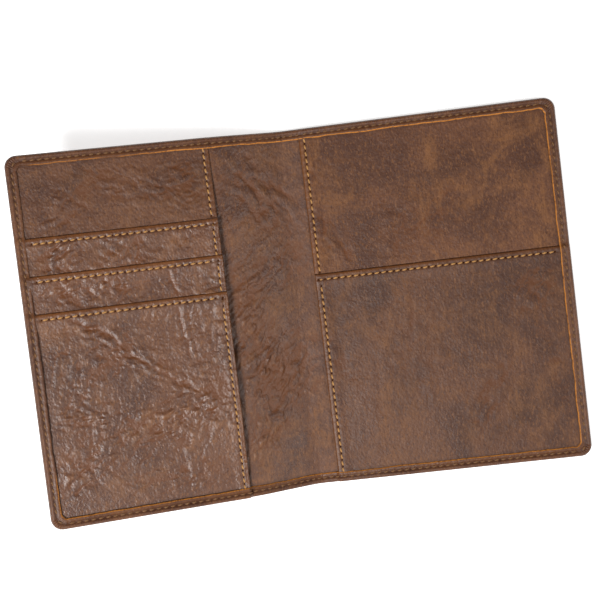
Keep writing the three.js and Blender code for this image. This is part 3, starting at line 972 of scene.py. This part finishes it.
def add_face(band):
    """Outer face, from the band's inner edge out to the rim, with its pressed stitch row."""
    columns = [(BAND, 0.0), (5.6, 0.0), (4.4, 0.0), (3.4, 0.0), (2.95, 0.03), (EDGE_ROW, 0.14), (1.95, 0.03)]
    for inset, height in columns:
        hole = band.holes * (inset == EDGE_ROW)
        band.add(inset, height + 0.22 * hole, hole=hole, burnish=0.5 * smooth(4.4, 2.0, inset))


def add_rim(band):
    """Round the rim. Pleats gather at the corners."""
    for step in range(RIM_STEPS + 1):
        share = step / RIM_STEPS
        angle = math.pi * (share - 0.5)
        inset = RIM_DEPTH * (1.0 - math.cos(angle) ** 0.9) if 0 < step < RIM_STEPS else RIM_DEPTH
        puff = HEM_PUFF * smooth(0.45, 0.85, share)
        height = (band.over + puff * (1.0 + 0.4 * band.waver)) / 2 * (1.0 + math.sin(angle))
        height = height - 0.35 * puff * (step == RIM_STEPS)
        height = height - 0.22 * band.pleat * smooth(0.2, 0.9, share)
        # painted shade down the middle of the rim's outer wall and in the pleats' valleys
        band.add(inset, height, crease=0.5 * band.pleat * (share > 0.3),
                 burnish=0.3 * hump(share, 0.8, 0.15), stain=0.75 * hump(share, 0.5, 0.22))


def add_hem(band):
    """Hem top: a puffed crest and a pressed stitch row, darkened with a stain mixed with painted shade."""
    columns = [(1.8, 0.05, 0.2, 0.25), (2.1, -0.18, 0.6, 0.7), (EDGE_ROW, -0.36, 1.0, 0.9),
               (2.75, -0.24, 0.6, 0.8), (3.1, -0.08, 0.2, 0.45), (3.5, -0.02, 0.0, 0.3)]
    for inset, change, in_row, stain in columns:
        pleat = band.pleat * smooth(4.3, 1.5, inset)
        height = band.over + change * (0.8 + 0.3 * band.waver) - 0.2 * band.holes * in_row
        # the stitch row's darkening is a stain mixed with painted shade; the pleats get painted shade in
        # their valleys
        band.add(inset, height - 0.18 * pleat + band.crinkle, hole=0.35 * band.holes * (inset == EDGE_ROW),
                 crease=0.5 * pleat, burnish=0.8 * smooth(2.3, 3.2, inset), stain=0.8 * stain)


def bareness_and_shade(band):
    """How much the cut edge's raw colour shows, from 0 to 1. Along most of the front cover's fore edge it is
    lowered as painted shade, and it is also lower along the front cover's top towards the fore edge.
    """
    u, y = edge_line(HEM_WIDTH)
    bare = 0.6 + 0.4 * smooth(-0.5, 0.1, band.noise(fractal, 14.0, 78))
    if band.side < 0:
        # painted shade: the raw colour is dimmed along the front cover's fore edge
        bare = bare * (1.0 - 0.85 * smooth(REACH - 8.0, REACH - 6.0, u) * smooth(14.0 - TOP, 26.0 - TOP, y))
        bare = bare * (1.0 - 0.45 * smooth(30.0, 60.0, u) * (y > 0.0))
    return bare


def add_cut_edge(band):
    """The bevelled cut edge inside the hem, a bare pale strip that wanders a little."""
    bare = bareness_and_shade(band)
    drift = 0.26 * band.waver + 0.10 * band.noise(value_noise, 2.1, 71)
    band.add(3.86, band.over - 0.03 + band.crinkle, shift=drift)
    band.add(3.92, band.over - 0.06 + band.crinkle, shift=drift, raw=bare)
    band.add(4.26, band.over - HEM + 0.22 + 0.2 * band.crinkle, shift=drift, raw=bare)
    band.add(HEM_WIDTH, band.under + 0.03, shift=drift, raw=bare, dark=0.3)


def add_inside(band):
    """Back under the hem, down the inside of the rim and in along the face."""
    for inset in (3.6, 2.6, 1.5):
        band.add(inset, band.under, dark=1.0)
    for share in (0.82, 0.5, 0.18):
        band.add(1.05, OUTER + (band.under - OUTER) * share, dark=1.0)
    for inset in (1.5, 3.4, BAND):
        band.add(inset, OUTER, dark=1.0)


def face_skin(side):
    """Points and creases of the plain outer face, on the lattice inside the band."""
    face_u, face_y = edge_runs(REACH - BAND, TOP - BAND)
    u, y = np.meshgrid(face_u[:-1], face_y[1:-1], indexing="ij")
    height, crease = relief(side * u, y, OUTER_CREASES, (), OUTER_SEED, 0.35, 0.0)
    calm = smooth(REACH - BAND, REACH - BAND - 6.0, u) * smooth(TOP - BAND, TOP - BAND - 6.0, np.abs(y))
    lift_in = np.clip(0.05 - height, 0.0, 0.3) * calm
    # painted shade in the outer face's creases and a painted highlight on their ridges
    return np.stack([side * u, y, lift_in], -1).reshape(-1, 3), (crease * calm).ravel()


def cover_faces(index, skin_start):
    """Faces of a cover's outer leather: the band, the outer skin, the bare inside and the cut
    down the middle of the fold. index holds the band's point numbers, one row for each column."""
    count_u, count_y = len(_run_u), len(_run_y)
    fore = slice(count_u + ARC_STEPS - 1, count_u + ARC_STEPS - 1 + count_y)
    skin = np.empty((count_u, count_y), int)
    inner = skin[:-1, 1:-1]
    inner[:] = skin_start + np.arange(inner.size).reshape(inner.shape)
    skin[:, 0] = index[0, :count_u]
    skin[:, -1] = index[0, ::-1][:count_u]
    skin[-1, :] = index[0, fore]
    low_edge, high_edge = index[-1, :count_u], index[-1, ::-1][:count_u]
    strips = np.stack([low_edge[:-1], low_edge[1:], high_edge[1:], high_edge[:-1]], -1)[:-1]
    fore_strip = np.concatenate([low_edge[-2:-1], index[-1, fore], high_edge[-2:-1]])
    middle_cut = np.concatenate([index[::-1, 0], skin[0, 1:-1], index[:, -1]])
    outer_skin = [face[::-1] for face in coarse_faces(skin, SKIN_EVERY)]
    band = grid_faces(index)[:, ::-1]
    return [*band, *outer_skin, *strips, fore_strip, middle_cut]


def cover_leather(name, side):
    """Outer leather of one cover and half the spine, as one closed body."""
    band = Band(side)
    for add in (add_face, add_rim, add_hem, add_cut_edge, add_inside):
        add(band)
    points = np.stack(band.columns)
    index = np.arange(points.size // 3).reshape(points.shape[:2])
    skin, crease = face_skin(side)
    marks = np.array(band.marks).transpose(1, 0, 2).reshape(len(MARKS), -1)
    attributes = {key: np.concatenate([marks[at], np.zeros(len(skin))]) for at, key in enumerate(MARKS)}
    attributes["crease"][index.size:] = crease
    faces = [face[::side] for face in cover_faces(index, index.size)]
    obj = make_object(name, np.concatenate([points.reshape(-1, 3), skin]), faces, attributes)
    merge_close(obj)
    return obj


def merge_close(obj):
    """Welds the points that meet at a sharp corner and makes all faces point out."""
    work = bmesh.new()
    work.from_mesh(obj.data)
    bmesh.ops.remove_doubles(work, verts=work.verts, dist=0.001 * MM)
    bmesh.ops.dissolve_degenerate(work, edges=work.edges, dist=0.0005 * MM)
    bmesh.ops.recalc_face_normals(work, faces=work.faces)
    work.to_mesh(obj.data)
    work.free()


# ---- Pieces

ROW_END = LAYER_Y - 2.5  # rows along the fold end just inside the hem
ROW_START = 1.0  # rows across start this far inside the free side
COVERED_STEP = 6.0  # grid step of the lining where a pocket hides it
UPRIGHT = math.pi / 2


def build_outer():
    nodes = {1: ("back_outer_leather", "spine_outer_leather"), -1: ("front_outer_leather",)}
    for side, name in ((1, "outer_back"), (-1, "outer_front")):
        material = leather(name + "_leather", tan=0.45, gloss=0.42, turn=-0.4, shade=0.88)
        settle(cover_leather(name, side), material, "outer_leather", side, *nodes[side], bends=True)


def build_boards():
    """Both boards are hidden, so their grids are coarse."""
    material = fibre_board("board")
    for side, node in ((1, "back_board"), (-1, "front_board")):
        s_lines = np.sort(side * np.linspace(BOARD_START, LAYER_S, 30))
        y_lines = np.linspace(-LAYER_Y, LAYER_Y, 12)
        obj = sheet(node + "_sheet", s_lines, y_lines, board_low, BOARD, strength=0.0)
        settle(obj, material, "board", side, node)


def build_linings():
    material = leather("lining_leather", (12.0, 40.0, 0.0), tan=0.6, gloss=0.78, turn=-0.6, shade=0.93,
                       dull_from=-3.0)
    seen = lines(0.0, SLEEVE_EDGE + 6.0, LINE_S, extra=NEAR_FOLD)
    back = np.concatenate([seen, np.arange(SLEEVE_EDGE + 10.0, LAYER_S, COVERED_STEP), [LAYER_S]])
    seen = lines(-CARD_EDGE - 5.0, 0.0, FINE_S, extra=-NEAR_FOLD)
    front = np.arange(CARD_EDGE + 10.0, LAYER_S, COVERED_STEP)
    front = np.concatenate([[-LAYER_S], -front[::-1], seen])
    nodes = {1: ("back_lining", "spine_lining"), -1: ("front_lining",)}
    for side, name, s_lines in ((1, "lining_back", back), (-1, "lining_front", front)):
        obj = sheet(name, s_lines, lines(-LAYER_Y, LAYER_Y, LINE_Y), lining_low, LINING,
                    lines_of=LINING_CREASES, patches=LINING_WRINKLES, seed=11, strength=0.8)
        settle(obj, material, "lining_leather", side, *nodes[side], bends=True)


def free_side(edge):
    """Distance inside a free edge that runs along the fold, for sheet()."""
    return lambda s, y: np.abs(s) - edge


def free_mouth(mouth):
    return lambda s, y: mouth - y


def lines_behind(mouth, count, step):
    """Grid lines up a panel: coarse where the pocket in front hides it, fine above its mouth."""
    hidden = np.linspace(-LAYER_Y, mouth - 5.0, count)[:-1]
    return np.concatenate([hidden, lines(mouth - 4.0, LAYER_Y, step)])


def lines_to_mouth(low, mouth, row_y, step):
    return lines(low, mouth, step, extra=np.concatenate([mouth - EDGE_STEPS, row_y + ROW_STEPS]))


# Free edge, upright stitch row, thickness, grid step, creases and wrinkles of each cover's pockets.
POCKETS = {
    -1: (CARD_EDGE, CARD_ROW, SLOT, FINE_S, CARD_CREASES, CARD_WRINKLES),
    1: (SLEEVE_EDGE, SLEEVE_ROW, PANEL, LINE_S, SLEEVE_CREASES, SLEEVE_WRINKLES),
}


def pocket(name, node, side, material, y_lines, low, row, mouth=None, mouth_row=None, **surface):
    """A pocket's leather. row holds the ends of its upright stitch row. A panel with a mouth has a
    turned edge there too, and a row under it. surface goes on to sheet()."""
    edge, row_u, thickness, step, lines_of, patches = POCKETS[side]
    extra = side * np.concatenate([edge + EDGE_STEPS, row_u + ROW_STEPS])
    s_lines = lines(*sorted([side * edge, side * LAYER_S]), step, extra=extra)
    free = [free_side(edge)]
    rows = [upright_row(row_u, *row)]
    if mouth is not None:
        free.append(free_mouth(mouth))
        rows.append(cross_row(mouth_row, edge + ROW_START))
    obj = sheet(name, s_lines, y_lines, low, thickness, free=free, rows=rows, lines_of=lines_of,
                patches=patches, **surface)
    settle(obj, material, "pocket_leather", side, node)


def build_card_base():
    material = leather("card_base_leather", (-60.0, 5.0, 3.0), tan=0.4, gloss=0.66, turn=0.7, shade=0.85)
    pocket("card_base", "card_back_panel", -1, material, lines_behind(MOUTHS[0], 16, FINE_Y),
           card_base_low, (MOUTHS[0] + 0.5, ROW_END), seed=21)


def build_card_slot(k, node):
    """Slot k + 1's leather. The first two are strips, with coarse lines at their hidden tails."""
    mouth, row_y, last = MOUTHS[k], SLOT_ROWS[k], node == SLOTS[-1]
    if last:
        y_lines = lines_to_mouth(-LAYER_Y, mouth, row_y, FINE_Y)
        row_low = -ROW_END
    else:
        tail = [TAILS[k], TAILS[k] + 1.2, TAILS[k] + 2.6]
        y_lines = np.concatenate([tail, lines_to_mouth(MOUTHS[k + 1] - 2.0, mouth, row_y, FINE_Y)])
        row_low = MOUTHS[k + 1] + 0.4
    offset = (31.0 * k, -22.0 * k, 7.0 * k)
    material = leather("card_slot_leather_%d" % (k + 1), offset, tan=0.5, gloss=0.88,
                       turn=0.9 - 0.8 * k, shade=0.93 if last else 0.96)
    pocket(node + "_leather", node, -1, material, y_lines, slot_low(k), (row_low, row_y),
           mouth, row_y, seed=31 + 10 * k, strength=1.2)


def build_cloth(k, node, material):
    """The cloth that a strip hangs by, just thinner than its CAD node."""
    low, high = flat_box(node + "_cloth")
    s_lines = np.linspace(-LAYER_S, -CARD_EDGE - 0.6, 26)
    y_lines = np.linspace(low[1], min(high[1], TAILS[k] - 0.2), 22)
    obj = sheet(node + "_cloth_sheet", s_lines, y_lines, slot_low(k), 0.8 * CLOTH, strength=0.0)
    settle(obj, material, "pocket_cloth", -1, node + "_cloth")


def build_card_panel():
    build_card_base()
    for k, node in enumerate(SLOTS):
        build_card_slot(k, node)
    cloth = taffeta("pocket_cloth")
    for k, node in enumerate(SLOTS[:-1]):
        build_cloth(k, node, cloth)


def build_sleeve():
    material = leather("sleeve_leather", (5.0, -14.0, 1.0), tan=0.85, gloss=0.3, turn=-0.75, shade=0.91)
    pocket("sleeve", "passport_sleeve", 1, material, lines_behind(TICKET_MOUTH, 12, LINE_Y), sleeve_low,
           (TICKET_MOUTH + 0.5, ROW_END), seed=51, strength=0.4, wave=0.12)


def build_ticket_pocket():
    material = leather("ticket_leather", (70.0, 33.0, 2.0), tan=0.6, gloss=0.4, turn=-0.95, shade=0.78)
    y_lines = lines_to_mouth(-LAYER_Y, TICKET_MOUTH, TICKET_ROW, LINE_Y)
    pocket("ticket_pocket_leather", "ticket_pocket", 1, material, y_lines, ticket_low,
           (-ROW_END, TICKET_ROW), TICKET_MOUTH, TICKET_ROW, seed=61, strength=0.4, wave=0.12)


def pocket_mark(low, thickness, s, y, direction):
    """A stitch pressed into a pocket's leather, whose lower side is given by low."""
    under = float(low(np.array([s]), np.array([y]))[0])
    return s, y, under + thickness + TURNED_LIP - ROW_DEPTH, direction, 1


def cross_marks(low, thickness, row_y, start, end):
    return [pocket_mark(low, thickness, s, row_y, 0.0) for s in row_marks(start, end, STITCH_S)]


def upright_marks(low, thickness, row_s, start, end):
    ys = row_marks(start - 1.0, end + 1.0, STITCH_Y)
    return [pocket_mark(low, thickness, row_s, y, UPRIGHT) for y in ys]


def build_row_threads():
    material = waxed_thread("pocket_thread", linear(214, 164, 98), linear(160, 112, 62))

    def add(name, side, node, marks):
        settle(stitches(name, marks), material, "thread", side, node)

    for k, node in enumerate(SLOTS):
        marks = cross_marks(slot_low(k), SLOT, SLOT_ROWS[k], -HEM_S, -CARD_EDGE)
        add(node + "_stitches", -1, node + "_thread", marks)
    runs = [(card_base_low, MOUTHS[0], HEM_Y)]
    for k, start in enumerate([*MOUTHS[1:], -HEM_Y]):
        runs.append((slot_low(k), start, SLOT_ROWS[k]))
    for number, (low, start, end) in enumerate(runs, 1):
        marks = upright_marks(low, SLOT, -CARD_ROW, start, end)
        add("card_panel_edge_stitches_%d" % number, -1, "card_panel_edge_thread_%d" % number, marks)
    marks = cross_marks(ticket_low, PANEL, TICKET_ROW, SLEEVE_EDGE, HEM_S)
    add("ticket_pocket_stitches", 1, "ticket_pocket_thread", marks)
    marks = upright_marks(sleeve_low, PANEL, SLEEVE_ROW, TICKET_MOUTH, HEM_Y)
    add("sleeve_edge_stitches_upper", 1, "sleeve_edge_thread_upper", marks)
    marks = upright_marks(ticket_low, PANEL, SLEEVE_ROW, -HEM_Y, TICKET_ROW)
    add("sleeve_edge_stitches_lower", 1, "sleeve_edge_thread_lower", marks)


INSIDE_SUNK = 0.27  # the middle of a stitch lies this far below the hem's top
OUTSIDE_SUNK = 0.10  # and this far inside the outer face, which is pressed in there


def edge_marks(side, outside):
    """Stitches round a cover, on the hem or on the outer face."""
    row, fore = TOP - EDGE_ROW, REACH - EDGE_ROW
    places = [(side * u, y, 0.0) for y in (-row, row) for u in row_marks(0.0, REACH - CORNER, STITCH_S)]
    places += [(side * fore, y, UPRIGHT) for y in row_marks(CORNER - TOP, TOP - CORNER, STITCH_Y)]
    round_off = corner_radius(EDGE_ROW) * (1.0 - math.sqrt(0.5))
    for end in (-1, 1):
        places.append((side * (fore - round_off), end * (row - round_off), -side * end * math.pi / 4))
    if outside:
        return [(s, y, OUTSIDE_SUNK, direction, -1) for s, y, direction in places]
    tops = [float(stack_top(np.array([s]), np.array([y]))[0]) + HEM for s, y, direction in places]
    return [(s, y, top - INSIDE_SUNK, direction, 1) for (s, y, direction), top in zip(places, tops)]


def build_edge_threads():
    material = waxed_thread("edge_thread", linear(146, 104, 62), linear(98, 66, 40))
    rows = {1: ("back", ("back_edge", "spine_top", "spine_bottom")), -1: ("front", ("front_edge",))}
    for side, (label, stems) in rows.items():
        for outside, ending in ((False, "_thread"), (True, "_bobbin_thread")):
            name = "edge_stitches_" + label + ("_outside" if outside else "")
            obj = stitches(name, edge_marks(side, outside))
            settle(obj, material, "thread", side, *[stem + ending for stem in stems], bends=True)


# ---- Stage

# Sizes and distances on the stage are in metres.
FLOOR_SIZE = 40.0
FLOOR_DROP = 0.0004
FLOOR_GLOW = 0.72  # near the wallet, so that its shadow stays light
GLOW_NEAR, GLOW_FAR = 0.3, 2.0  # the glow rises to 1 between these distances
WORLD_STRENGTH = 0.10
WHITE = (1.0, 1.0, 1.0, 1.0)
LIGHT_DISTANCE = 0.9


def build_floor():
    bpy.ops.mesh.primitive_plane_add(size=FLOOR_SIZE, location=(0.0, 0.0, -FLOOR_DROP))
    floor = bpy.context.object
    floor.name = "floor"
    m = Shader("floor_paper")
    position = m.node("ShaderNodeTexCoord").outputs["Object"]
    tooth = m.noise(position, 400.0, 2.0, 0.5)
    color = m.mix(m.range(tooth, 0.3, 0.7), linear(240, 240, 240), linear(246, 246, 246))
    away = m.node("ShaderNodeVectorMath", operation="LENGTH")
    m.feed(away.inputs[0], position)
    glow = m.range(away.outputs["Value"], GLOW_NEAR, GLOW_FAR, FLOOR_GLOW, 1.0)
    m.feed(m.surface.inputs["Emission Color"], WHITE)
    m.feed(m.surface.inputs["Emission Strength"], glow)
    floor.data.materials.append(m.finish(color, 0.9, m.bump(tooth, 0.02, 0.2), 0.1))


def build_world():
    """A dim white world that the camera itself sees as plain white."""
    world = bpy.data.worlds.new("studio")
    bpy.context.scene.world = world
    world.use_nodes = True
    nodes, links = world.node_tree.nodes, world.node_tree.links
    nodes["Background"].inputs["Color"].default_value = WHITE
    seen = nodes.new("ShaderNodeLightPath").outputs["Is Camera Ray"]
    strength = nodes.new("ShaderNodeMapRange")
    links.new(seen, strength.inputs["Value"])
    strength.inputs["To Min"].default_value = WORLD_STRENGTH
    strength.inputs["To Max"].default_value = 1.0
    links.new(strength.outputs[0], nodes["Background"].inputs["Strength"])


def area_light(name, azimuth, elevation, size, power):
    """A square softbox aimed at the fold. Azimuth in degrees from +X towards +Y."""
    data = bpy.data.lights.new(name, "AREA")
    data.shape = "SQUARE"
    data.size = size
    data.energy = power
    light = bpy.data.objects.new(name, data)
    bpy.context.scene.collection.objects.link(light)
    around, up = math.radians(azimuth), math.radians(elevation)
    toward = Vector((math.cos(up) * math.cos(around), math.cos(up) * math.sin(around), math.sin(up)))
    aim = toward.to_track_quat("Z", "Y").to_matrix().to_4x4()
    light.matrix_world = Matrix.Translation(Vector((FOLD_X * MM, 0.0, 0.0)) + LIGHT_DISTANCE * toward) @ aim


# The view from above, turned and shifted a little about the middle of the fold.
CAMERA_DISTANCE = 450.0
CAMERA_TILT = math.radians(2.66)
CAMERA_SWING = math.radians(-3.9)
CAMERA_ROLL = math.radians(6.69)
CAMERA_SHIFT = (0.99, 1.75)
CAMERA_LENS = 66.3


def build_camera():
    data = bpy.data.cameras.new("camera")
    data.sensor_width = 36.0
    data.lens = CAMERA_LENS
    data.clip_start = 0.01
    camera = bpy.data.objects.new("camera", data)
    bpy.context.scene.collection.objects.link(camera)
    turn = (Matrix.Rotation(CAMERA_ROLL, 4, "Z") @ Matrix.Rotation(CAMERA_SWING, 4, "Y")
            @ Matrix.Rotation(CAMERA_TILT, 4, "X"))
    back_off = Matrix.Translation((CAMERA_SHIFT[0] * MM, CAMERA_SHIFT[1] * MM, CAMERA_DISTANCE * MM))
    fold = Matrix.Translation((FOLD_X * MM, 0.0, 0.0))
    camera.matrix_world = fold @ turn.inverted() @ back_off
    bpy.context.scene.camera = camera


build_outer()
build_boards()
build_linings()
build_card_panel()
build_sleeve()
build_ticket_pocket()
build_row_threads()
build_edge_threads()
build_floor()
build_world()
area_light("key", azimuth=222, elevation=62, size=0.24, power=8.8)
area_light("fill", azimuth=346, elevation=40, size=0.22, power=2.4)
build_camera()

bpy.context.scene.view_settings.view_transform = "Standard"
bpy.context.scene.view_settings.look = "None"

bpy.context.view_layer.update()
